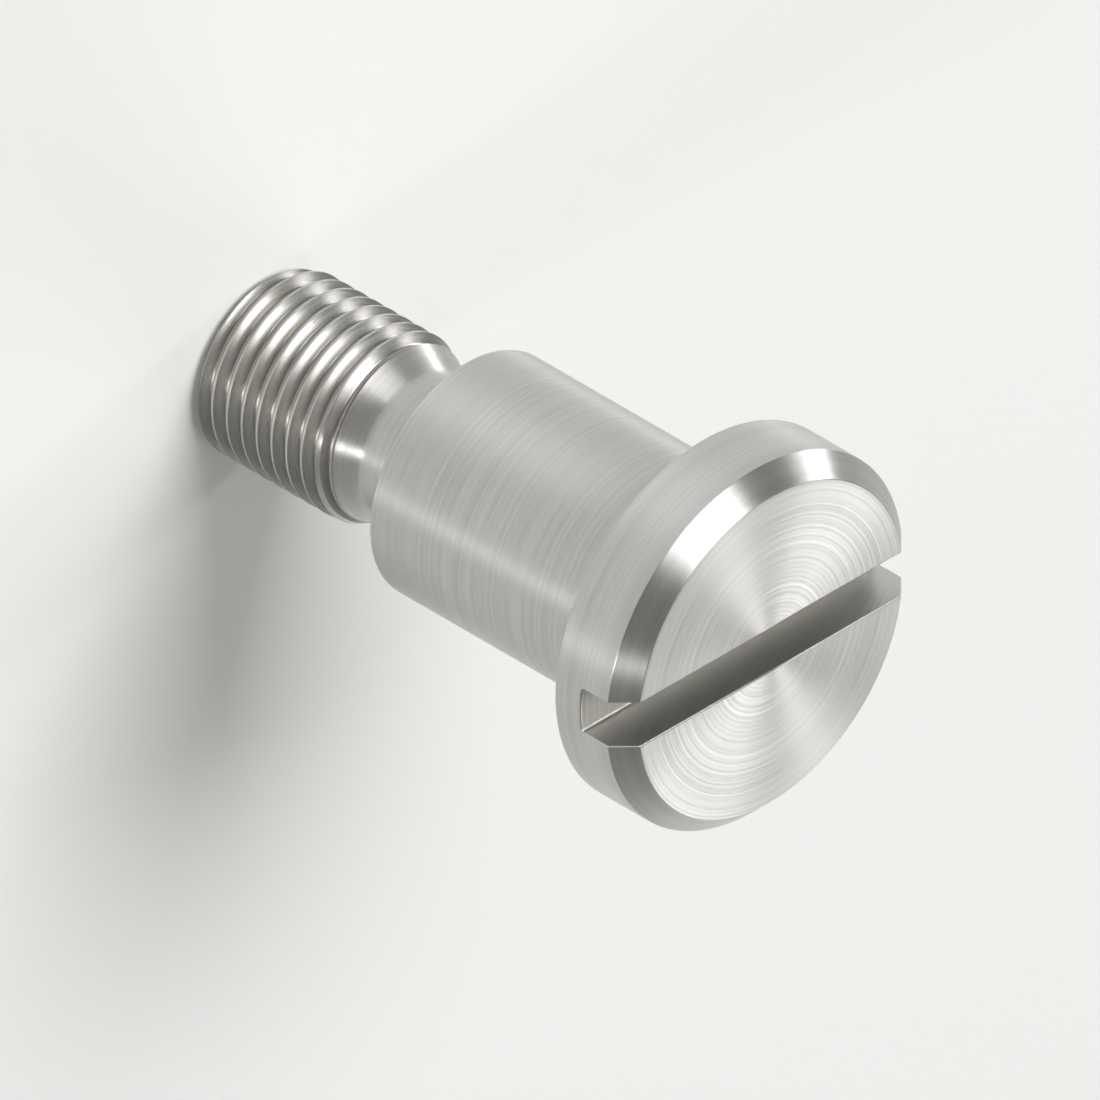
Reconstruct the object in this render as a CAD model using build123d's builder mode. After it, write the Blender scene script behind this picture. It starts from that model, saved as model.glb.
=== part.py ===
"""Shoulder bolt: a turned steel screw with a slotted head, a plain bearing shoulder and an M10 thread.

It is one piece of bar stock. The thread is cut first, along its helix. The tip and the relief groove
come next and trim the thread's two ends, then the edges are broken, and the screwdriver slot is
milled across the head last.

Millimetres. +Z runs along the axis from the thread to the head. The origin is on the axis, in the
plane of the seat: the shoulder's lower face, which lands on the tapped part. The slot runs along X.
"""

import os
from math import radians, sqrt, tan

from build123d import *

# Head: a flat cylinder with one wide chamfer
HEAD_DIAMETER = 20.0
HEAD_HEIGHT = 4.6
HEAD_CHAMFER = 1.1

# Screwdriver slot
SLOT_WIDTH = 2.5
SLOT_DEPTH = 2.85
SLOT_ROOT_RADIUS = 0.2

# Shoulder: the journal that a lever, roller or link turns on
SHOULDER_DIAMETER = 13.0
SHOULDER_LENGTH = 16.0

# Thread: M10 x 1, right-hand, cut to the basic profile of metric threads
THREAD_DIAMETER = 10.0
THREAD_PITCH = 1.0
THREAD_END = 13.0  # from the seat to the chamfer on the tip
TIP_CHAMFER = 0.6  # a little deeper than the thread, so the tip's face is a whole circle

# Relief groove, between the seat and the thread
RELIEF_DIAMETER = 7.7
RELIEF_LENGTH = 5.2  # from the seat to where the run-up reaches the thread's full diameter
RELIEF_ANGLE = 30.0  # slope of the run-up, from the axis
RELIEF_RADIUS = 0.8

# The outer edges that have no chamfer are only broken
EDGE_BREAK = 0.1

# The 60 degree profile that all metric threads share, as shares of the pitch
FLANK_SLOPE = tan(radians(30.0))  # half the groove's width, for each unit of depth
THREAD_DEPTH = THREAD_PITCH * sqrt(3) / 2 * 5 / 8
ROOT_FLAT = THREAD_PITCH / 4

# Radii and heights worked out from the sizes above
THREAD_R = THREAD_DIAMETER / 2
RELIEF_R = RELIEF_DIAMETER / 2
SHOULDER_R = SHOULDER_DIAMETER / 2
HEAD_R = HEAD_DIAMETER / 2
TIP_Z = -THREAD_END - TIP_CHAMFER
TOP_Z = SHOULDER_LENGTH + HEAD_HEIGHT
RUN_UP = (THREAD_R - RELIEF_R) / tan(radians(RELIEF_ANGLE))

# The threading tool stands a little out of the stock. Its path starts beyond the tip and ends in the
# relief groove, clear of the run-up.
TOOL_CLEARANCE = THREAD_PITCH / 20
TOOL_MOUTH = ROOT_FLAT + 2 * (THREAD_DEPTH + TOOL_CLEARANCE) * FLANK_SLOPE
PATH_START = TIP_Z - THREAD_PITCH
PATH_END = -RELIEF_LENGTH + RUN_UP * 0.8
STOCK_START = PATH_START - THREAD_PITCH

# How far the turning tools stand out of the stock, and how long the relief groove is out there
TURNING_SPARE = 1.0
GROOVE_MOUTH = RELIEF_LENGTH + TURNING_SPARE / tan(radians(RELIEF_ANGLE))


def ring(part, height, radius):
    """The part's round edge of one height and radius."""
    circles = part.edges().filter_by(GeomType.CIRCLE)
    same_radius = circles.filter_by(lambda edge: abs(edge.radius - radius) < 1e-3)
    return same_radius.sort_by_distance((0, 0, height))[0]


with BuildPart() as shoulder_bolt:
    # Thread: the stock, still too long at the tip, and the tool's sweep through it
    with BuildSketch(Plane.XY.offset(STOCK_START)):
        Circle(THREAD_R)
    extrude(amount=-STOCK_START)
    with BuildLine() as tool_path:
        Helix(THREAD_PITCH, PATH_END - PATH_START, THREAD_R, center=(0, 0, PATH_START))
    with BuildSketch(Plane((THREAD_R, 0, PATH_START), x_dir=(1, 0, 0), z_dir=(0, -1, 0))):
        with BuildLine():
            Polyline(
                (TOOL_CLEARANCE, TOOL_MOUTH / 2),
                (-THREAD_DEPTH, ROOT_FLAT / 2),
                (-THREAD_DEPTH, -ROOT_FLAT / 2),
                (TOOL_CLEARANCE, -TOOL_MOUTH / 2),
                close=True,
            )
        make_face()
    sweep(path=tool_path.line, is_frenet=True, mode=Mode.SUBTRACT)

    # Shoulder and head
    with BuildSketch(Plane.XZ):
        with BuildLine():
            Polyline(
                (0, 0),
                (SHOULDER_R, 0),
                (SHOULDER_R, SHOULDER_LENGTH),
                (HEAD_R, SHOULDER_LENGTH),
                (HEAD_R, TOP_Z),
                (0, TOP_Z),
                close=True,
            )
        make_face()
    revolve(axis=Axis.Z)

    # Tip: the spare stock and the chamfer, turned away
    with BuildSketch(Plane.XZ):
        with BuildLine():
            Polyline(
                (0, TIP_Z),
                (THREAD_R - TIP_CHAMFER, TIP_Z),
                (THREAD_R + TURNING_SPARE, TIP_Z + TIP_CHAMFER + TURNING_SPARE),
                (THREAD_R + TURNING_SPARE, STOCK_START - TURNING_SPARE),
                (0, STOCK_START - TURNING_SPARE),
                close=True,
            )
        make_face()
    revolve(axis=Axis.Z, mode=Mode.SUBTRACT)

    # Relief groove, rounded in both of its corners
    with BuildSketch(Plane.XZ) as groove:
        with BuildLine():
            Polyline(
                (THREAD_R + TURNING_SPARE, 0),
                (RELIEF_R, 0),
                (RELIEF_R, RUN_UP - RELIEF_LENGTH),
                (THREAD_R + TURNING_SPARE, -GROOVE_MOUTH),
                close=True,
            )
        make_face()
        fillet(groove.vertices().group_by(Axis.X)[0], radius=RELIEF_RADIUS)
    revolve(axis=Axis.Z, mode=Mode.SUBTRACT)

    # Edges of the head and the shoulder
    chamfer(ring(shoulder_bolt, TOP_Z, HEAD_R), length=HEAD_CHAMFER)
    chamfer(ring(shoulder_bolt, SHOULDER_LENGTH, HEAD_R), length=EDGE_BREAK)
    chamfer(ring(shoulder_bolt, 0, SHOULDER_R), length=EDGE_BREAK)

    # Screwdriver slot, right across the head
    with BuildSketch(Plane.YZ) as slot:
        with Locations((0, TOP_Z)):
            Rectangle(SLOT_WIDTH, 2 * SLOT_DEPTH)
        fillet(slot.vertices().group_by(Axis.Y)[0], radius=SLOT_ROOT_RADIUS)
    extrude(amount=HEAD_DIAMETER, both=True, mode=Mode.SUBTRACT)

os.makedirs("parts", exist_ok=True)
shoulder_bolt.part.label = "shoulder_bolt"
export_step(shoulder_bolt.part, "parts/shoulder_bolt.step")
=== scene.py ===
# %% [markdown]
# # A slotted shoulder bolt in turned stainless steel
#
# This lesson dresses a small machine screw. The real one is turned from bar in one piece: a
# slotted head, a smooth shoulder that something pivots on, a relief groove and a fine thread.
# Nothing on it is soft or printed, so its look comes from three things only: true form, softly
# broken edges that catch the light, and the fine marks that each tool leaves.
#
# The model made in CAD is loaded first and fixes every size. The scene then remakes the same
# bolt with Geometry Nodes, in the order in which a machinist would make it, and gives each cut
# surface its own steel.

from math import pi, radians, sqrt, tan
from types import SimpleNamespace

import bpy
from mathutils import Matrix, Vector


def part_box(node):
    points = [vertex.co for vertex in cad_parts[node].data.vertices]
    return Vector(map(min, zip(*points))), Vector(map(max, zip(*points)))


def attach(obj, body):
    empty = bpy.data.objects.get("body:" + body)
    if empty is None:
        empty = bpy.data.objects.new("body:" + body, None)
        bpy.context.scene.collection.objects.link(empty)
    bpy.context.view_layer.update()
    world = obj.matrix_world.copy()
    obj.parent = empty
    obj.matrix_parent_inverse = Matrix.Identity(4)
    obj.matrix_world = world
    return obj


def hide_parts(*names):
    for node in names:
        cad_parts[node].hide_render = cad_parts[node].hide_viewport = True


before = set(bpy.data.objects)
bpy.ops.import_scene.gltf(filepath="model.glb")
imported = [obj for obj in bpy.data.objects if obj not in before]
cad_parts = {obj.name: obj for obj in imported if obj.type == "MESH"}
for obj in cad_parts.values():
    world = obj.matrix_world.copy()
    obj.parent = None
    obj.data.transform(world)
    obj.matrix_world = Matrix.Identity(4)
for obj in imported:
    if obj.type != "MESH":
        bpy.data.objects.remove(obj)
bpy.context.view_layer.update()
bolt_low, bolt_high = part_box("shoulder_bolt")

# %% [markdown]
# ## Millimetres
#
# The bolt stands on its thread end with its axis on Z, and the origin is in the plane where the
# shoulder meets the thread end. Its whole length and the width of its head are read from the
# CAD model's box, so they can't drift from it. Everything is worked out in millimetres and made
# metres at the end, because booleans and pattern scales are easier to trust near 1 than near
# 0.001.

# %% Read the box in millimetres
MM = 0.001

HEAD_R = bolt_high.x / MM
TOP = bolt_high.z / MM
TIP = bolt_low.z / MM
print("length", round(TOP - TIP, 3), "mm, head", round(HEAD_R * 2, 3), "mm across")

# %% [markdown]
# ## One helper for every node
#
# Materials and geometry both are trees of nodes. One small function adds a node of any kind,
# sets its options, and fills its inputs, either with a plain value or with a link when it is
# given another node's socket. The options come first, because they decide which sockets the
# node has.


# %% Add a node
def add_node(tree, kind, inputs=None, **options):
    node = tree.nodes.new(kind)
    for option, value in options.items():
        setattr(node, option, value)
    for name, value in (inputs or {}).items():
        if isinstance(value, bpy.types.NodeSocket):
            tree.links.new(value, node.inputs[name])
        else:
            node.inputs[name].default_value = value
    return node


print("add_node is ready")

# %% [markdown]
# ## Colours
#
# A colour is written as the hex value seen on a screen. Shaders work in linear light, so one
# function turns the hex value to linear. Stainless steel is a slightly warm light grey: it has no
# colour of its own beyond that, and shows the room instead.


# %% Hex colour to linear light
def linear(hex_colour):
    parts = [int(hex_colour[i : i + 2], 16) / 255 for i in (1, 3, 5)]
    return (*[p / 12.92 if p <= 0.04045 else ((p + 0.055) / 1.055) ** 2.4 for p in parts], 1.0)


print("turned steel in linear light", [round(c, 3) for c in linear("#C7C6C3")])

# %% [markdown]
# ## Where the tool was
#
# On a lathe the work turns and the tool stands still, so every mark it leaves is a circle about
# the axis. A pattern that knows only a point's distance from the axis and its height along it
# gives rings on faces, cylinders and cones alike. This function makes a new steel with those
# two numbers ready in millimetres. They come from Object coordinates, which stay on the bolt
# however it is moved. It hands back the material, its tree and shader, and the coordinates
# under one name, so that the next cells can add to the steel bit by bit.


# %% A steel with lathe coordinates
def new_steel(name, colour):
    material = bpy.data.materials.new(name)
    material.use_nodes = True
    tree = material.node_tree
    shader = tree.nodes["Principled BSDF"]
    shader.inputs["Base Color"].default_value = linear(colour)
    shader.inputs["Metallic"].default_value = 1.0
    place = add_node(tree, "ShaderNodeTexCoord")
    mm = add_node(
        tree,
        "ShaderNodeVectorMath",
        {0: place.outputs["Object"], "Scale": 1 / MM},
        operation="SCALE",
    ).outputs["Vector"]
    xyz = add_node(tree, "ShaderNodeSeparateXYZ", {0: mm})
    flat = add_node(
        tree, "ShaderNodeCombineXYZ", {"X": xyz.outputs["X"], "Y": xyz.outputs["Y"]}
    )
    from_axis = add_node(tree, "ShaderNodeVectorMath", {0: flat.outputs[0]}, operation="LENGTH")
    rings = add_node(
        tree, "ShaderNodeCombineXYZ", {"X": from_axis.outputs["Value"], "Y": xyz.outputs["Z"]}
    ).outputs[0]
    return SimpleNamespace(
        material=material, tree=tree, shader=shader, mm=mm, xyz=xyz.outputs, rings=rings
    )


print("a steel starts from its name and colour")

# %% [markdown]
# ## Which way the grooves run
#
# Thousands of parallel grooves smear a reflection across themselves. This is what makes the
# bright streak along a turned shoulder, and the bow tie on a faced head. The shader does it with
# its Anisotropic input, if it is told at each point which way the grooves run. On a turned
# surface that is round the axis: the direction (-y, x, 0).


# %% Point the shader's tangent along the grooves
QUARTER_TURN = 0.25  # the shader counts this angle in whole turns


def comb(steel, direction):
    world = add_node(
        steel.tree,
        "ShaderNodeVectorTransform",
        {"Vector": direction},
        vector_type="VECTOR",
        convert_from="OBJECT",
        convert_to="WORLD",
    )
    steel.tree.links.new(world.outputs["Vector"], steel.shader.inputs["Tangent"])


def comb_round_axis(steel):
    minus_y = add_node(
        steel.tree, "ShaderNodeMath", {0: steel.xyz["Y"], 1: -1.0}, operation="MULTIPLY"
    )
    around = add_node(
        steel.tree, "ShaderNodeCombineXYZ", {"X": minus_y.outputs[0], "Y": steel.xyz["X"]}
    )
    comb(steel, around.outputs[0])
    # the shader stretches a highlight along its tangent, and a quarter turn lays it across
    steel.shader.inputs["Anisotropic Rotation"].default_value = QUARTER_TURN


print("grooves can run any way, or round the axis")

# %% [markdown]
# ## Bright turned stainless steel
#
# The head, the shoulder and the relief groove are finish-turned with a fine feed. To the eye that
# is a bright metal with a soft sheen, crossed by rings that are a little brighter or duller
# where the tool's edge was fresh or worn. A slow cloud of faint variation keeps the surface from
# looking computed.

# %% The scale of the turning marks
FEED = 0.14  # mm between feed marks: real ones are about 0.05 mm apart, too fine to show
BAND = 0.24  # mm between the rings that differ in tone, drawn about twice as wide as real ones
CLOUD = 6.0  # mm across a patch of the slow variation
FEED_DEPTH = 0.0016  # mm, the real height of a fine-turned surface
CLOUD_SHARE = 0.35  # of the change in gloss; the rest is feed marks

TURNED_BRIGHT, TURNED_DULL = 0.3, 0.42  # roughness of the glossiest and the dullest mark
TURNED_GROOVED = 0.9  # a fine even feed leaves hardly anything but grooves
print("feed marks in a millimetre:", round(1 / FEED, 1))

# %% Where most of a noise lies
MOST_FROM, MOST_TO = 0.3, 0.7  # a noise texture may give 0 to 1, but mostly gives this
MIDDLE_FROM, MIDDLE_TO = 0.35, 0.65  # the middle of that, for more contrast
print("noise is stretched from", MOST_FROM, "to", MOST_TO)

# %% Turned steel: feed marks and cloud make the gloss
turned = new_steel("turned_stainless_steel", "#C7C6C3")
feed = add_node(
    turned.tree,
    "ShaderNodeTexNoise",
    {"Vector": turned.rings, "Scale": 1 / FEED, "Detail": 2.0, "Roughness": 0.6},
    noise_dimensions="2D",
)
cloud = add_node(
    turned.tree,
    "ShaderNodeTexNoise",
    {"Vector": turned.mm, "Scale": 1 / CLOUD, "Detail": 3.0, "Roughness": 0.55},
)
feed_and_cloud = add_node(
    turned.tree,
    "ShaderNodeMix",
    {"Factor": CLOUD_SHARE, "A": feed.outputs["Fac"], "B": cloud.outputs["Fac"]},
    data_type="FLOAT",
)
turned_gloss = add_node(
    turned.tree,
    "ShaderNodeMapRange",
    {
        "Value": feed_and_cloud.outputs["Result"],
        "From Min": MOST_FROM,
        "From Max": MOST_TO,
        "To Min": TURNED_BRIGHT,
        "To Max": TURNED_DULL,
    },
)
turned.tree.links.new(turned_gloss.outputs["Result"], turned.shader.inputs["Roughness"])
print("turned roughness", TURNED_BRIGHT, "to", TURNED_DULL)

# %% Turned steel: bands of tone
bands = add_node(
    turned.tree,
    "ShaderNodeTexNoise",
    {"Vector": turned.rings, "Scale": 1 / BAND, "Detail": 2.0, "Roughness": 0.7},
    noise_dimensions="2D",
)
band_tone = add_node(
    turned.tree,
    "ShaderNodeMapRange",
    {"Value": bands.outputs["Fac"], "From Min": MIDDLE_FROM, "From Max": MIDDLE_TO},
)
turned_colour = add_node(
    turned.tree,
    "ShaderNodeMix",
    {"Factor": band_tone.outputs["Result"], "A": linear("#C2C1BE"), "B": linear("#CCCBC8")},
    data_type="RGBA",
)
turned.tree.links.new(turned_colour.outputs["Result"], turned.shader.inputs["Base Color"])
print("bands in a millimetre:", round(1 / BAND, 1))

# %% Turned steel: relief, and grooves round the axis
feed_relief = add_node(
    turned.tree,
    "ShaderNodeBump",
    {"Distance": FEED_DEPTH * MM, "Height": feed.outputs["Fac"]},
)
turned.tree.links.new(feed_relief.outputs["Normal"], turned.shader.inputs["Normal"])
turned.shader.inputs["Anisotropic"].default_value = TURNED_GROOVED
comb_round_axis(turned)
print("made", turned.material.name, "with", len(turned.tree.nodes), "nodes")

# %% [markdown]
# ## Thread-cut stainless steel
#
# A thread is cut at a slower speed with a pointed tool that rubs on both flanks, so its grooves
# are finer and less even than the shoulder's. Little light gets down to the roots, and that shade
# is painted into the steel's colour, which grows darker towards the roots. The thread is M10 x 1:
# its crests are at 5 mm, its flanks stand at 60 degrees, and by that standard its depth is five
# eighths of the height of a full triangle.

# %% The thread's own sizes and finish
THREAD_R = 5.0
PITCH = 1.0
THREAD_DEPTH = PITCH * sqrt(3) / 2 * 5 / 8
CORE_R = THREAD_R - THREAD_DEPTH
ROOT_WIDTH = PITCH / 4

DRAG = 0.07  # mm between the marks that the threading tool drags, about twice the real size
THREAD_BRIGHT, THREAD_DULL = 0.27, 0.35
THREAD_GROOVED = 0.5  # the tool tears as well as cuts, so its grooves are less even
ROOT_SHADE = 2 / 3  # of the depth, from the root up, is darker than the crest
print("thread depth", round(THREAD_DEPTH, 4), "mm, core", round(CORE_R * 2, 3), "mm across")

# %% Thread steel: drag marks make the gloss
threaded = new_steel("thread_cut_stainless_steel", "#C9C8C4")
drag = add_node(
    threaded.tree,
    "ShaderNodeTexNoise",
    {"Vector": threaded.rings, "Scale": 1 / DRAG, "Detail": 1.0, "Roughness": 0.5},
    noise_dimensions="2D",
)
thread_gloss = add_node(
    threaded.tree,
    "ShaderNodeMapRange",
    {
        "Value": drag.outputs["Fac"],
        "From Min": MOST_FROM,
        "From Max": MOST_TO,
        "To Min": THREAD_BRIGHT,
        "To Max": THREAD_DULL,
    },
)
threaded.tree.links.new(thread_gloss.outputs["Result"], threaded.shader.inputs["Roughness"])
print("thread roughness", THREAD_BRIGHT, "to", THREAD_DULL)

# %% Thread steel: painted shade in the roots, and grooves round the axis
from_axis = add_node(threaded.tree, "ShaderNodeSeparateXYZ", {0: threaded.rings})
# painted shade: the colour runs from dark in the roots up to the crest colour, two thirds of the
# way up the depth
painted_root_shade = add_node(
    threaded.tree,
    "ShaderNodeMapRange",
    {
        "Value": from_axis.outputs["X"],
        "From Min": CORE_R,
        "From Max": CORE_R + THREAD_DEPTH * ROOT_SHADE,
    },
)
# this mix paints shade into the roots, darker where little light gets in
thread_colour_with_painted_shade = add_node(
    threaded.tree,
    "ShaderNodeMix",
    {"Factor": painted_root_shade.outputs["Result"], "A": linear("#A3A09A"), "B": linear("#C9C8C4")},
    data_type="RGBA",
)
threaded.tree.links.new(thread_colour_with_painted_shade.outputs["Result"], threaded.shader.inputs["Base Color"])
threaded.shader.inputs["Anisotropic"].default_value = THREAD_GROOVED
comb_round_axis(threaded)
print("made", threaded.material.name, "with", len(threaded.tree.nodes), "nodes")

# %% [markdown]
# ## Slot-milled stainless steel
#
# The slot is cut by a slotting saw, a thin toothed disc 44 mm across that travels along it. Each
# tooth leaves a faint line across the floor, and climbs the walls along the disc's own arc. A
# tooth that is at x on the floor has reached x - sqrt(2Rh - hh) at height h above it, where R is
# the disc's radius, so that number is the same all along one tooth's mark, and the pattern is
# drawn on it. The steel looks duller than the turned faces, and streaked across.

# %% The slot's and the saw's own sizes, and the finish
SLOT_WIDTH = 2.5
SLOT_DEPTH = 2.85
SLOT_CORNER = 0.2
SAW_R = 22.0

TOOTH_MARK = 0.2  # mm between tooth marks, a little coarser than real ones so that they show
MARK_DEPTH = 0.008  # mm, the height of a sawn surface
MILLED_BRIGHT, MILLED_DULL = 0.26, 0.44
MILLED_GROOVED = 0.5
print("slot", SLOT_WIDTH, "x", SLOT_DEPTH, "mm, floor at", round(TOP - SLOT_DEPTH, 3))

# %% Milled steel: number every point by the tooth that cut it
milled = new_steel("slot_milled_stainless_steel", "#C2C1BD")
height = add_node(
    milled.tree, "ShaderNodeMath", {0: milled.xyz["Z"], 1: TOP - SLOT_DEPTH}, operation="SUBTRACT"
)
to_far_rim = add_node(
    milled.tree, "ShaderNodeMath", {0: SAW_R * 2, 1: height.outputs[0]}, operation="SUBTRACT"
)
squared = add_node(
    milled.tree,
    "ShaderNodeMath",
    {0: to_far_rim.outputs[0], 1: height.outputs[0]},
    operation="MULTIPLY",
)
not_below = add_node(
    milled.tree, "ShaderNodeMath", {0: squared.outputs[0], 1: 0.0}, operation="MAXIMUM"
)
swing = add_node(milled.tree, "ShaderNodeMath", {0: not_below.outputs[0]}, operation="SQRT")
tooth = add_node(
    milled.tree, "ShaderNodeMath", {0: milled.xyz["X"], 1: swing.outputs[0]}, operation="SUBTRACT"
)
lean = sqrt((2 * SAW_R - SLOT_DEPTH) * SLOT_DEPTH)
print("at the top of the slot a mark leans back by", round(lean, 2), "mm")

# %% Milled steel: tooth marks make the gloss
along = add_node(milled.tree, "ShaderNodeCombineXYZ", {"X": tooth.outputs[0]})
marks = add_node(
    milled.tree,
    "ShaderNodeTexNoise",
    {"Vector": along.outputs[0], "Scale": 1 / TOOTH_MARK, "Detail": 2.0, "Roughness": 0.6},
)
milled_gloss = add_node(
    milled.tree,
    "ShaderNodeMapRange",
    {
        "Value": marks.outputs["Fac"],
        "From Min": MOST_FROM,
        "From Max": MOST_TO,
        "To Min": MILLED_BRIGHT,
        "To Max": MILLED_DULL,
    },
)
milled.tree.links.new(milled_gloss.outputs["Result"], milled.shader.inputs["Roughness"])
print("milled roughness", MILLED_BRIGHT, "to", MILLED_DULL)

# %% Milled steel: tone and relief, and grooves along the slot
mark_tone = add_node(
    milled.tree,
    "ShaderNodeMapRange",
    {"Value": marks.outputs["Fac"], "From Min": MIDDLE_FROM, "From Max": MIDDLE_TO},
)
milled_colour = add_node(
    milled.tree,
    "ShaderNodeMix",
    {"Factor": mark_tone.outputs["Result"], "A": linear("#B6B5B1"), "B": linear("#CDCCC8")},
    data_type="RGBA",
)
milled.tree.links.new(milled_colour.outputs["Result"], milled.shader.inputs["Base Color"])
mark_relief = add_node(
    milled.tree,
    "ShaderNodeBump",
    {"Distance": MARK_DEPTH * MM, "Height": marks.outputs["Fac"]},
)
milled.tree.links.new(mark_relief.outputs["Normal"], milled.shader.inputs["Normal"])
milled.shader.inputs["Anisotropic"].default_value = MILLED_GROOVED
along_slot = add_node(milled.tree, "ShaderNodeCombineXYZ", {"X": 1.0})
comb(milled, along_slot.outputs[0])
print("made", milled.material.name, "with", len(milled.tree.nodes), "nodes")

# %% [markdown]
# ## The half-section
#
# A lathe hand works from a half-section: how far the tool stands from the axis at each height. It
# could be drawn as a curve, but a chain of points does as well and is easier to read. Each
# corner also says how much it is rounded. No turned edge is truly sharp: the outer edges are
# broken with a touch of a file, and the inner ones have the radius of the tool's nose. On a part
# this small, these roundings are all that catches the light along an edge.
#
# Below the shoulder the bar is necked down to a relief groove, so that the threading tool can run
# out into it and the shoulder can seat. A cone of 30 degrees leads from the groove up to the
# thread.

# %% Name the turned sizes
HEAD_CHAMFER = 1.1
SHOULDER_R = 6.5
SHOULDER_LENGTH = 16.0
TIP_CHAMFER = 0.6

RELIEF_R = 3.85
RELIEF_LENGTH = 5.2
RELIEF_CORNER = 0.8
RUN_UP = (THREAD_R - RELIEF_R) / tan(radians(30))

EDGE = 0.12  # outer edges, broken with a file
TIP_EDGE = 0.06  # less, because the tip has a chamfer anyway
NOSE = 0.1  # the corner under the head, as round as the turning tool's nose
FACE_START = 0.4  # how much of each end face is drawn, so that its edge can be rounded
print("head", round(TOP - SHOULDER_LENGTH, 3), "mm high, run-up", round(RUN_UP, 3), "mm long")

# %% Draw the half-section
half_section = [
    # radius, height, corner radius
    (THREAD_R - TIP_CHAMFER - FACE_START, TIP, 0.0),
    (THREAD_R - TIP_CHAMFER, TIP, TIP_EDGE),
    (THREAD_R, TIP + TIP_CHAMFER, 0.0),
    (THREAD_R, -RELIEF_LENGTH, 0.0),
    (RELIEF_R, -RELIEF_LENGTH + RUN_UP, RELIEF_CORNER),
    (RELIEF_R, 0.0, RELIEF_CORNER),
    (SHOULDER_R, 0.0, EDGE),
    (SHOULDER_R, SHOULDER_LENGTH, NOSE),
    (HEAD_R, SHOULDER_LENGTH, EDGE),
    (HEAD_R, TOP - HEAD_CHAMFER, EDGE),
    (HEAD_R - HEAD_CHAMFER, TOP, EDGE),
    (HEAD_R - HEAD_CHAMFER - FACE_START, TOP, 0.0),
]
drawing = bpy.data.meshes.new("half_section")
drawing.from_pydata(
    [(radius, 0.0, height) for radius, height, _ in half_section],
    [(i, i + 1) for i in range(len(half_section) - 1)],
    [],
)
corner_radius = drawing.attributes.new("corner_radius", "FLOAT", "POINT")
corner_radius.data.foreach_set("value", [rounding for _, _, rounding in half_section])
print("half-section has", len(half_section), "corners")

# %% [markdown]
# ## Turning, threading and slotting as one node tree
#
# The bolt follows a rule, so Geometry Nodes can make it. The tree does what the workshop does:
#
# 1. Turn: the bolt's axis is the path, a circle is the profile, and the circle is scaled by the
#    tool's distance from the axis at each height.
# 2. Cut the thread: the section of the threading tool is swept along a helix and taken away. It
#    runs in past the tip and out into the relief groove, as the real tool does.
# 3. Mill the slot: a bar with rounded lower corners is taken away along X.
# 4. Give each surface the steel of the tool that cut it.
#
# A thread could also be faked with rings or with bump, but then the crests don't climb, and the
# start and the run-out, which the eye looks for, are wrong.
#
# The sizes of the tools are worked out here. The threading tool is a little taller than the
# thread is deep, so that it clears the bar, and its narrow end is rounded by a hair less than the
# largest circle that fits between the flanks. The helix is turned by half a step, and raised by
# as much, so that the seams of the swept tool never run along the seams of the turned bar.

# %% Work out the tools
STEPS_AROUND = 120
CLEARANCE = 0.05
RUN_OUT = RUN_UP * 0.8  # how far up the cone the tool goes before it leaves the bar
TOOL_HEIGHT = THREAD_DEPTH + CLEARANCE
TOOL_MOUTH = ROOT_WIDTH + 2 * tan(radians(30)) * TOOL_HEIGHT
ROOT_RADIUS = ROOT_WIDTH * sqrt(3) / 2 * 0.999

HALF_STEP = pi / STEPS_AROUND
HELIX_START = TIP - PITCH + PITCH / 2 / STEPS_AROUND
HELIX_TURNS = (-RELIEF_LENGTH + RUN_OUT - (TIP - PITCH)) / PITCH
SAW_REACH = HEAD_R * 1.2  # from the axis, well past the side of the head
print("helix of", round(HELIX_TURNS, 2), "turns, root radius", round(ROOT_RADIUS, 3), "mm")

# %% Start the tree and name its inputs
workshop = bpy.data.node_groups.new("turn_thread_and_slot", "GeometryNodeTree")
workshop.is_modifier = True
workshop.interface.new_socket("Geometry", in_out="OUTPUT", socket_type="NodeSocketGeometry")
workshop.interface.new_socket("Half Section", in_out="INPUT", socket_type="NodeSocketGeometry")

tree_inputs = {
    "Steps Around": ("NodeSocketInt", STEPS_AROUND),
    "Root Width": ("NodeSocketFloat", ROOT_WIDTH),
    "Root Radius": ("NodeSocketFloat", ROOT_RADIUS),
    "Tool Mouth": ("NodeSocketFloat", TOOL_MOUTH),
    "Tool Height": ("NodeSocketFloat", TOOL_HEIGHT),
    "Thread Radius": ("NodeSocketFloat", THREAD_R),
    "Helix Turns": ("NodeSocketFloat", HELIX_TURNS),
    "Helix Height": ("NodeSocketFloat", HELIX_TURNS * PITCH),
    "Helix Start": ("NodeSocketVector", (0.0, 0.0, HELIX_START)),
    "Slot Width": ("NodeSocketFloat", SLOT_WIDTH),
    "Saw Height": ("NodeSocketFloat", SLOT_DEPTH * 2),
    "Slot Corner": ("NodeSocketFloat", SLOT_CORNER),
    "Saw From": ("NodeSocketVector", (-SAW_REACH, 0.0, TOP)),
    "Saw To": ("NodeSocketVector", (SAW_REACH, 0.0, TOP)),
    "Turned Steel": ("NodeSocketMaterial", turned.material),
    "Thread Steel": ("NodeSocketMaterial", threaded.material),
    "Milled Steel": ("NodeSocketMaterial", milled.material),
}
for name, (kind, _) in tree_inputs.items():
    workshop.interface.new_socket(name, in_out="INPUT", socket_type=kind)
given = add_node(workshop, "NodeGroupInput").outputs
print("tree inputs:", ", ".join(tree_inputs))

# %% [markdown]
# ### Turning
#
# Fillet Curve rounds each corner by the radius drawn at it, with more steps where the radius is
# large. Then the distance from the axis is kept as a number, each point is moved onto the
# axis, and Curve to Mesh scales the circle by that number. Fill Caps closes both ends with one
# flat face each.

# %% Round the corners of the half-section
EDGE_STEPS = 4
GROOVE_STEPS = 12

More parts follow.
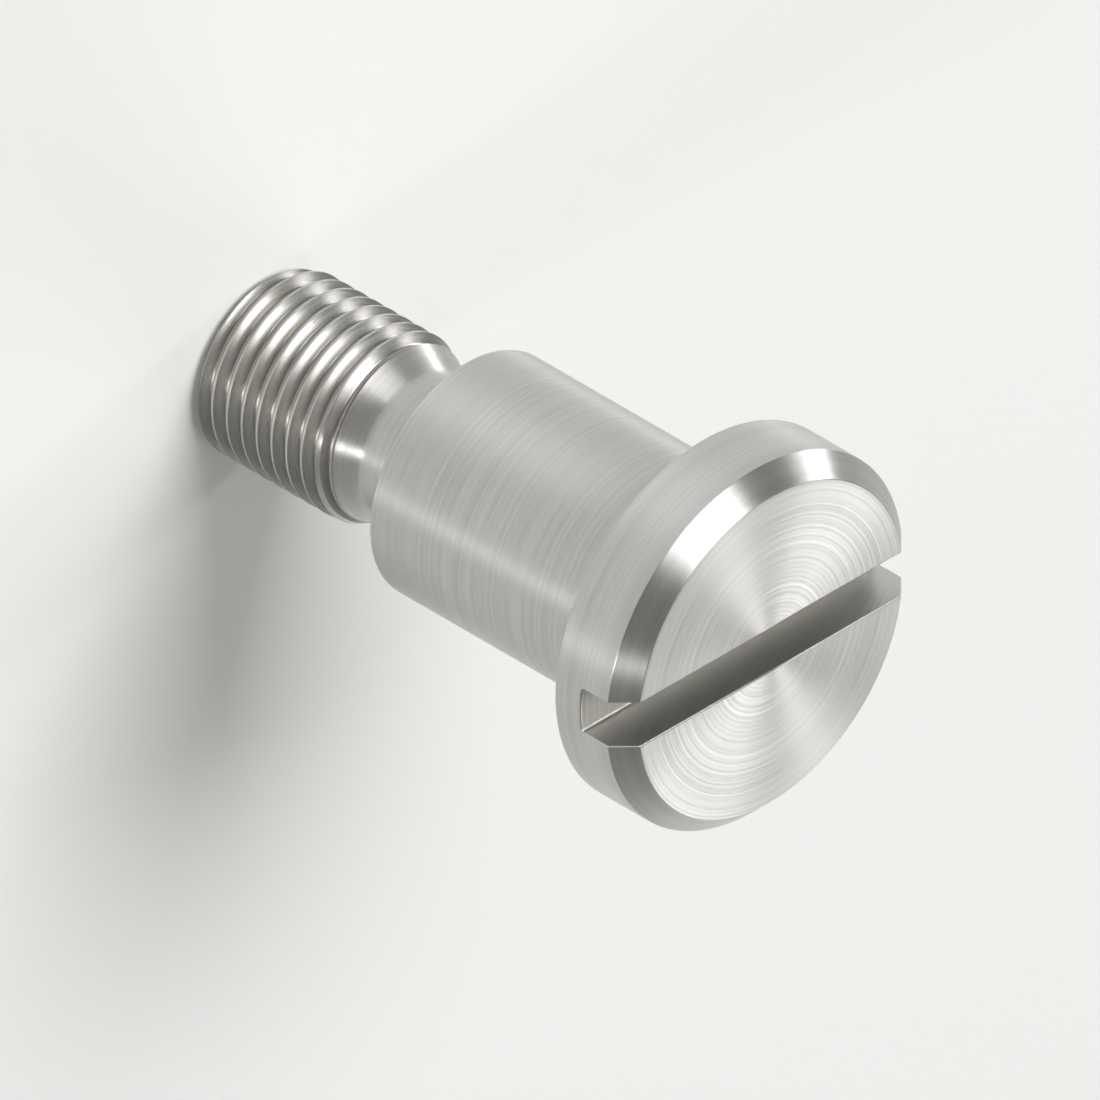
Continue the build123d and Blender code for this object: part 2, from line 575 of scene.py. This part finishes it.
chain = add_node(workshop, "GeometryNodeMeshToCurve", {"Mesh": given["Half Section"]})
corner = add_node(
    workshop, "GeometryNodeInputNamedAttribute", {"Name": "corner_radius"}, data_type="FLOAT"
).outputs["Attribute"]
is_large = add_node(
    workshop,
    "FunctionNodeCompare",
    {"A": corner, "B": RELIEF_CORNER / 2},
    operation="GREATER_THAN",
)
corner_steps = add_node(
    workshop,
    "GeometryNodeSwitch",
    {"Switch": is_large.outputs[0], "False": EDGE_STEPS, "True": GROOVE_STEPS},
    input_type="INT",
)
rounded_chain = add_node(
    workshop,
    "GeometryNodeFilletCurve",
    {
        "Curve": chain.outputs[0],
        "Count": corner_steps.outputs[0],
        "Radius": corner,
        "Limit Radius": True,
    },
    mode="POLY",
)
print("corners get", EDGE_STEPS, "steps, and", GROOVE_STEPS, "in the relief groove")

# %% Move the half-section onto the axis
position = add_node(workshop, "GeometryNodeInputPosition")
at = add_node(workshop, "ShaderNodeSeparateXYZ", {0: position.outputs[0]}).outputs
measured = add_node(
    workshop,
    "GeometryNodeStoreNamedAttribute",
    {"Geometry": rounded_chain.outputs[0], "Name": "tool_reach", "Value": at["X"]},
    data_type="FLOAT",
    domain="POINT",
)
on_axis = add_node(workshop, "ShaderNodeCombineXYZ", {"Z": at["Z"]})
axis_path = add_node(
    workshop,
    "GeometryNodeSetPosition",
    {"Geometry": measured.outputs[0], "Position": on_axis.outputs[0]},
)
print("the distance from the axis is kept as tool_reach")

# %% Turn the bar
reach = add_node(
    workshop, "GeometryNodeInputNamedAttribute", {"Name": "tool_reach"}, data_type="FLOAT"
)
circle = add_node(
    workshop,
    "GeometryNodeCurvePrimitiveCircle",
    {"Resolution": given["Steps Around"], "Radius": 1.0},
)
turned_bar = add_node(
    workshop,
    "GeometryNodeCurveToMesh",
    {
        "Curve": axis_path.outputs[0],
        "Profile Curve": circle.outputs[0],
        "Scale": reach.outputs["Attribute"],
        "Fill Caps": True,
    },
)
print("tree has", len(workshop.nodes), "nodes")

# %% [markdown]
# ### The threading tool
#
# The groove of a metric thread has straight flanks 60 degrees apart. The tool is a trapezoid
# whose narrow end is rounded, so that the root is a smooth hollow. The trapezoid is drawn upright
# about its middle. A quarter turn lays its height in the depth of the cut, and a shift brings its
# wide end just outside the bar. Spiral makes the helix, and Z Up normals keep the tool square to
# the axis all the way.

# %% Draw the threading tool
tool_blank = add_node(
    workshop,
    "GeometryNodeCurvePrimitiveQuadrilateral",
    {
        "Bottom Width": given["Root Width"],
        "Top Width": given["Tool Mouth"],
        "Height": given["Tool Height"],
        "Offset": 0.0,
    },
    mode="TRAPEZOID",
)
is_at_root = add_node(
    workshop, "FunctionNodeCompare", {"A": at["Y"], "B": 0.0}, operation="LESS_THAN"
)
tool_corners = add_node(
    workshop,
    "GeometryNodeSwitch",
    {"Switch": is_at_root.outputs[0], "False": 0.0, "True": given["Root Radius"]},
    input_type="FLOAT",
)
print("tool", round(TOOL_HEIGHT, 3), "mm high and", round(TOOL_MOUTH, 3), "mm wide at its mouth")

# %% Grind its end round and lay it for the cut
ground_tool = add_node(
    workshop,
    "GeometryNodeFilletCurve",
    {
        "Curve": tool_blank.outputs[0],
        "Count": EDGE_STEPS,
        "Radius": tool_corners.outputs[0],
        "Limit Radius": True,
    },
    mode="POLY",
)
tool_section = add_node(
    workshop,
    "GeometryNodeTransform",
    {
        "Geometry": ground_tool.outputs[0],
        "Translation": (CLEARANCE - TOOL_HEIGHT / 2, 0.0, 0.0),
        "Rotation": (0.0, 0.0, -pi / 2),
    },
)
print("the tool cuts", round(TOOL_HEIGHT - CLEARANCE, 3), "mm deep")

# %% Wind the helix
helix = add_node(
    workshop,
    "GeometryNodeCurveSpiral",
    {
        "Resolution": given["Steps Around"],
        "Rotations": given["Helix Turns"],
        "Start Radius": given["Thread Radius"],
        "End Radius": given["Thread Radius"],
        "Height": given["Helix Height"],
        "Reverse": True,
    },
)
placed_helix = add_node(
    workshop,
    "GeometryNodeTransform",
    {
        "Geometry": helix.outputs[0],
        "Translation": given["Helix Start"],
        "Rotation": (0.0, 0.0, HALF_STEP),
    },
)
print("right-handed: the helix climbs as it turns anticlockwise seen from the head")

# %% Lead the tool along it
square_helix = add_node(
    workshop, "GeometryNodeSetCurveNormal", {"Curve": placed_helix.outputs[0]}, mode="Z_UP"
)
thread_cut = add_node(
    workshop,
    "GeometryNodeCurveToMesh",
    {
        "Curve": square_helix.outputs[0],
        "Profile Curve": tool_section.outputs[0],
        "Fill Caps": True,
    },
)
print("the tool passes", round(HELIX_TURNS * PITCH, 2), "mm along the bolt")

# %% [markdown]
# ### The slotting saw
#
# A rectangle as wide as the slot is swept along X from one side of the head to the other. It is
# twice as high as the slot is deep, because its middle travels at the height of the head's
# face. Only the corners that reach the floor of the slot are rounded. A path's Z Up normals lay
# the Y of a section downwards, so these are the corners where Y is positive in the drawing.

# %% Draw the saw's section
saw_blank = add_node(
    workshop,
    "GeometryNodeCurvePrimitiveQuadrilateral",
    {"Width": given["Slot Width"], "Height": given["Saw Height"]},
    mode="RECTANGLE",
)
is_at_floor = add_node(
    workshop, "FunctionNodeCompare", {"A": at["Y"], "B": 0.0}, operation="GREATER_THAN"
)
saw_corners = add_node(
    workshop,
    "GeometryNodeSwitch",
    {"Switch": is_at_floor.outputs[0], "False": 0.0, "True": given["Slot Corner"]},
    input_type="FLOAT",
)
saw_section = add_node(
    workshop,
    "GeometryNodeFilletCurve",
    {
        "Curve": saw_blank.outputs[0],
        "Count": EDGE_STEPS,
        "Radius": saw_corners.outputs[0],
        "Limit Radius": True,
    },
    mode="POLY",
)
print("saw", SLOT_WIDTH, "mm wide, its lower corners rounded by", SLOT_CORNER, "mm")

# %% Lead the saw across the head
travel = add_node(
    workshop,
    "GeometryNodeCurvePrimitiveLine",
    {"Start": given["Saw From"], "End": given["Saw To"]},
)
level_travel = add_node(
    workshop, "GeometryNodeSetCurveNormal", {"Curve": travel.outputs[0]}, mode="Z_UP"
)
slot_cut = add_node(
    workshop,
    "GeometryNodeCurveToMesh",
    {
        "Curve": level_travel.outputs[0],
        "Profile Curve": saw_section.outputs[0],
        "Fill Caps": True,
    },
)
print("saw travels", round(SAW_REACH * 2, 2), "mm")

# %% [markdown]
# ### Cutting
#
# Before a cut is taken, every face of the cutter gets a number in an attribute named cut_by. A
# boolean hands the cutter's faces on to the surface that it cuts, with their attributes, so each
# face of the finished bolt knows which tool made it. Faces that no cutter touched have 0.

# %% Number the cutters
THREAD_TOOL, SAW = 1, 2

thread_numbered = add_node(
    workshop,
    "GeometryNodeStoreNamedAttribute",
    {"Geometry": thread_cut.outputs[0], "Name": "cut_by", "Value": THREAD_TOOL},
    data_type="INT",
    domain="FACE",
)
slot_numbered = add_node(
    workshop,
    "GeometryNodeStoreNamedAttribute",
    {"Geometry": slot_cut.outputs[0], "Name": "cut_by", "Value": SAW},
    data_type="INT",
    domain="FACE",
)
print("cut_by is", THREAD_TOOL, "in the thread and", SAW, "in the slot")

# %% Take both cuts
with_thread = add_node(
    workshop,
    "GeometryNodeMeshBoolean",
    {"Mesh 1": turned_bar.outputs[0], "Mesh 2": thread_numbered.outputs[0]},
    operation="DIFFERENCE",
    solver="MANIFOLD",
)
with_slot = add_node(
    workshop,
    "GeometryNodeMeshBoolean",
    {"Mesh 1": with_thread.outputs[0], "Mesh 2": slot_numbered.outputs[0]},
    operation="DIFFERENCE",
    solver="MANIFOLD",
)
in_metres = add_node(
    workshop, "GeometryNodeTransform", {"Geometry": with_slot.outputs[0], "Scale": (MM, MM, MM)}
)
print("cut in millimetres, then made metres")

# %% Ask which tool cut each face
realized = add_node(workshop, "GeometryNodeRealizeInstances", {"Geometry": in_metres.outputs[0]})
cut_by = add_node(
    workshop, "GeometryNodeInputNamedAttribute", {"Name": "cut_by"}, data_type="INT"
)
by_thread_tool = add_node(
    workshop,
    "FunctionNodeCompare",
    {"A": cut_by.outputs["Attribute"], "B": THREAD_TOOL},
    data_type="INT",
    operation="EQUAL",
)
by_saw = add_node(
    workshop,
    "FunctionNodeCompare",
    {"A": cut_by.outputs["Attribute"], "B": SAW},
    data_type="INT",
    operation="EQUAL",
)
print("faces are told apart by cut_by")

# %% Give each surface its steel and end the tree
all_turned = add_node(
    workshop,
    "GeometryNodeSetMaterial",
    {"Geometry": realized.outputs[0], "Material": given["Turned Steel"]},
)
thread_dressed = add_node(
    workshop,
    "GeometryNodeSetMaterial",
    {
        "Geometry": all_turned.outputs[0],
        "Selection": by_thread_tool.outputs[0],
        "Material": given["Thread Steel"],
    },
)
slot_dressed = add_node(
    workshop,
    "GeometryNodeSetMaterial",
    {
        "Geometry": thread_dressed.outputs[0],
        "Selection": by_saw.outputs[0],
        "Material": given["Milled Steel"],
    },
)
add_node(workshop, "NodeGroupOutput", {"Geometry": slot_dressed.outputs[0]})
print("tree has", len(workshop.nodes), "nodes and", len(workshop.links), "links")

# %% [markdown]
# ### Running the tree
#
# A modifier's inputs are set by each socket's identifier, because two sockets may share a name.
# The evaluated object is then turned into a plain mesh, and the working object is thrown away.
# A second small function puts data of any kind into the scene: a mesh, a lamp or a camera.


# %% Turn a worked object into a plain mesh
def plain_mesh(worked):
    bpy.context.view_layer.update()
    evaluated = worked.evaluated_get(bpy.context.evaluated_depsgraph_get())
    mesh = bpy.data.meshes.new_from_object(evaluated)
    bpy.data.objects.remove(worked)
    return mesh


def on_the_bench(name, data):
    piece = bpy.data.objects.new(name, data)
    bpy.context.scene.collection.objects.link(piece)
    return piece


print("plain_mesh and on_the_bench are ready")

# %% Make the bolt
bar = on_the_bench("bar", drawing)
turning = bar.modifiers.new("Turn thread and slot", "NODES")
turning.node_group = workshop
identifiers = {
    socket.name: socket.identifier
    for socket in workshop.interface.items_tree
    if socket.in_out == "INPUT"
}
for name, (_, value) in tree_inputs.items():
    turning[identifiers[name]] = value
cut_bolt = plain_mesh(bar)
# the cuts were taken in bare metal, which leaves one empty slot in front of the three steels
while cut_bolt.materials[0] is None:
    cut_bolt.materials.pop(index=0)
faces_by_steel = {
    steel.name: sum(face.material_index == number for face in cut_bolt.polygons)
    for number, steel in enumerate(cut_bolt.materials)
}
print("faces by steel:", faces_by_steel)

# %% [markdown]
# ## Smooth and sharp
#
# Smooth shading blends every face into its neighbours, so the 120 steps round the bolt look like
# one curve. Edges where two faces meet at more than 27 degrees are marked sharp and stay crisp:
# the thread's crests above all, and the cone that leads up to them.

# %% Mark the sharp edges
CRISP = radians(27)

cut_bolt.shade_smooth()
cut_bolt.set_sharp_from_angle(angle=CRISP)
print("sharp edges", sum(edge.value for edge in cut_bolt.attributes["sharp_edge"].data))

# %% [markdown]
# ## Breaking the slot's edges
#
# Milling leaves a burr along the slot, and it is taken off with a fine file, which leaves a thin
# bright line. The rim of the slot is wherever milled steel meets another steel, so those edges
# are found by their materials, given a bevel weight, and rounded by a Bevel modifier. This could
# be modelled in the tree, but the rim crosses the head's face, its chamfer and its side, and the
# modifier joins the three roundings by itself.

# %% Find the rim of the slot
milled_number = cut_bolt.materials.find(milled.material.name)
sides = {}
for face in cut_bolt.polygons:
    for edge in face.edge_keys:
        sides.setdefault(edge, set()).add(face.material_index == milled_number)
rim = [len(sides[tuple(sorted(edge.vertices))]) == 2 for edge in cut_bolt.edges]
weights = cut_bolt.attributes.new("bevel_weight_edge", "FLOAT", "EDGE")
weights.data.foreach_set("value", [float(on_rim) for on_rim in rim])
print("rim edges", sum(rim))

# %% Round the rim
RIM = 0.08  # mm
RIM_STEPS = 4

filed = on_the_bench("filed", cut_bolt)
file_stroke = filed.modifiers.new("Break the rim", "BEVEL")
file_stroke.limit_method = "WEIGHT"
file_stroke.offset_type = "OFFSET"
file_stroke.width = RIM * MM
file_stroke.segments = RIM_STEPS
file_stroke.use_clamp_overlap = False
file_stroke.miter_outer = "MITER_SHARP"
print("rim rounded by", RIM, "mm")

# %% [markdown]
# ## Flat faces stay flat
#
# A flat face that is blended into its rounded edge looks swollen. A Weighted Normal modifier lets
# the large faces decide the direction at a shared corner, so the flats stay flat and the
# roundings carry the whole turn. It comes after the Bevel on the same object, and keeps the
# edges that were marked sharp.

# %% Weight the normals
weighting = filed.modifiers.new("Weighted Normal", "WEIGHTED_NORMAL")
weighting.mode = "FACE_AREA"
weighting.keep_sharp = True
bolt_mesh = plain_mesh(filed)
print("faces", len(bolt_mesh.polygons), "own normals", bolt_mesh.has_custom_normals)

# %% [markdown]
# ## The finished bolt
#
# The mesh becomes one object at the origin, unturned and unscaled, with its place in its mesh. It
# takes the place of the CAD solid of the same bolt, which is hidden, and rides on the only body
# there is. Its steels are the three that the tree gave it.

# %% Put the bolt in the frame
bolt = on_the_bench("bolt_body", bolt_mesh)
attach(bolt, "root")
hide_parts("shoulder_bolt")
triangles = sum(len(face.vertices) - 2 for face in bolt_mesh.polygons)
print(bolt.name, "has", len(bolt_mesh.polygons), "faces and", triangles, "triangles")

# %% [markdown]
# ## The camera
#
# The bolt is seen as in an engineering drawing: isometric, with no perspective, so its round
# faces are ellipses of one shape, and sizes can be compared along any axis. The camera looks
# along the diagonal (1, -1, 1), and is rolled so that the head comes forward at the lower right
# and the thread goes back to the upper left. The bolt is centred by its own outline as the
# camera sees it.

# %% Set up the isometric camera
PICTURE_WIDTH = 52.48  # mm
EYE_DISTANCE = 300.0  # mm, which changes nothing without perspective
CLIP_START, CLIP_END = 10.0, 3000.0  # mm

towards_eye = Vector((1, -1, 1)).normalized()
picture_right = Vector((-1, 0, 1)).normalized()
picture_up = towards_eye.cross(picture_right)


def middle_along(direction):
    reach = [vertex.co.dot(direction) for vertex in bolt_mesh.vertices]
    return (min(reach) + max(reach)) / 2


place = (
    picture_right * middle_along(picture_right)
    + picture_up * middle_along(picture_up)
    + towards_eye * EYE_DISTANCE * MM
)
roll = Matrix((picture_right, picture_up, towards_eye)).transposed()
camera = on_the_bench("camera", bpy.data.cameras.new("camera"))
camera.data.type = "ORTHO"
camera.data.ortho_scale = PICTURE_WIDTH * MM
camera.data.clip_start, camera.data.clip_end = CLIP_START * MM, CLIP_END * MM
camera.matrix_world = Matrix.Translation(place) @ roll.to_4x4()
bpy.context.scene.camera = camera
print("camera at", [round(v, 4) for v in place])

# %% [markdown]
# ## The floor
#
# The bolt stands on a plain pale floor, wide enough to fill any view from above. It is matt, so
# it shows the bolt's shadow and no reflection, and it is not part of the bolt.

# %% Lay the floor
FLOOR_HALF = 4.0  # metres
PALE = linear("#F4F4F2")

floor_mesh = bpy.data.meshes.new("floor")
floor_mesh.from_pydata(
    [
        (x * FLOOR_HALF, y * FLOOR_HALF, bolt_low.z)
        for x, y in ((-1, -1), (1, -1), (1, 1), (-1, 1))
    ],
    [],
    [(0, 1, 2, 3)],
)
floor = on_the_bench("floor", floor_mesh)
pale_floor = bpy.data.materials.new("pale_floor")
pale_floor.use_nodes = True
floor_shader = pale_floor.node_tree.nodes["Principled BSDF"]
floor_shader.inputs["Base Color"].default_value = PALE
floor_shader.inputs["Roughness"].default_value = 0.9
floor_shader.inputs["Specular IOR Level"].default_value = 0.1
floor_mesh.materials.append(pale_floor)
print("floor at", round(bolt_low.z / MM, 3), "mm")

# %% [markdown]
# ## The lights
#
# Polished metal shows its lamps rather than being lit by them, so each lamp is a soft panel with
# a shape. The key light is large and high, and sets the level at which the floor's colour renders
# about as it is written. The rear light separates the far edges, the tall strip draws the bright
# line along the shoulder and the thread, and a low strip on the other side lights the chamfer and
# the slot. All of them hang more than a metre away, so that the floor round the bolt is lit
# evenly.


# %% Hang the soft panels, placed and sized in metres
def softbox(name, place, aim, width, height, watts):
    lamp = bpy.data.lights.new(name, "AREA")
    lamp.shape = "RECTANGLE"
    lamp.size, lamp.size_y = width, height
    lamp.energy = watts
    holder = on_the_bench(name, lamp)
    holder.location = place
    holder.rotation_euler = (Vector(aim) - Vector(place)).to_track_quat("-Z", "Y").to_euler()
    print(name, watts, "W")


softbox("key_light", (-0.15, -0.90, 1.35), (0, 0, 0), 0.90, 0.90, 21.0)
softbox("rear_light", (-0.90, 1.20, 0.90), (0, 0, 0.01), 0.90, 0.60, 4.5)
softbox("tall_strip", (-1.35, -0.36, 0.36), (0, 0, 0), 0.24, 1.20, 5.4)
softbox("low_strip", (1.38, 0.06, 0.30), (0, 0, 0), 0.15, 1.20, 3.6)

# %% [markdown]
# ## The room
#
# The world fills what the lamps leave. Overhead it is dim, so that the steel has something dark
# to reflect between the lamps. Towards the horizon it grows as pale as the floor, like a studio
# backdrop that curves up from it, so a level view has a pale background too.

# %% Fill with a world that is pale at the horizon and dim overhead
OVERHEAD = 0.22  # of the level at the horizon
PALE_UP_TO = 0.02  # height of a direction: 0 is level and 1 is straight up
DIM_FROM = 0.2

studio = bpy.data.worlds.new("studio")
studio.use_nodes = True
room = studio.node_tree
looking = add_node(room, "ShaderNodeTexCoord")
rise = add_node(room, "ShaderNodeSeparateXYZ", {0: looking.outputs["Generated"]})
glow = add_node(
    room,
    "ShaderNodeMapRange",
    {
        "Value": rise.outputs["Z"],
        "From Min": PALE_UP_TO,
        "From Max": DIM_FROM,
        "To Min": 1.0,
        "To Max": OVERHEAD,
    },
    interpolation_type="SMOOTHSTEP",
)
background = room.nodes["Background"]
background.inputs["Color"].default_value = PALE
room.links.new(glow.outputs["Result"], background.inputs["Strength"])
bpy.context.scene.world = studio
bpy.context.scene.view_settings.view_transform = "Standard"
print("view transform:", bpy.context.scene.view_settings.view_transform)
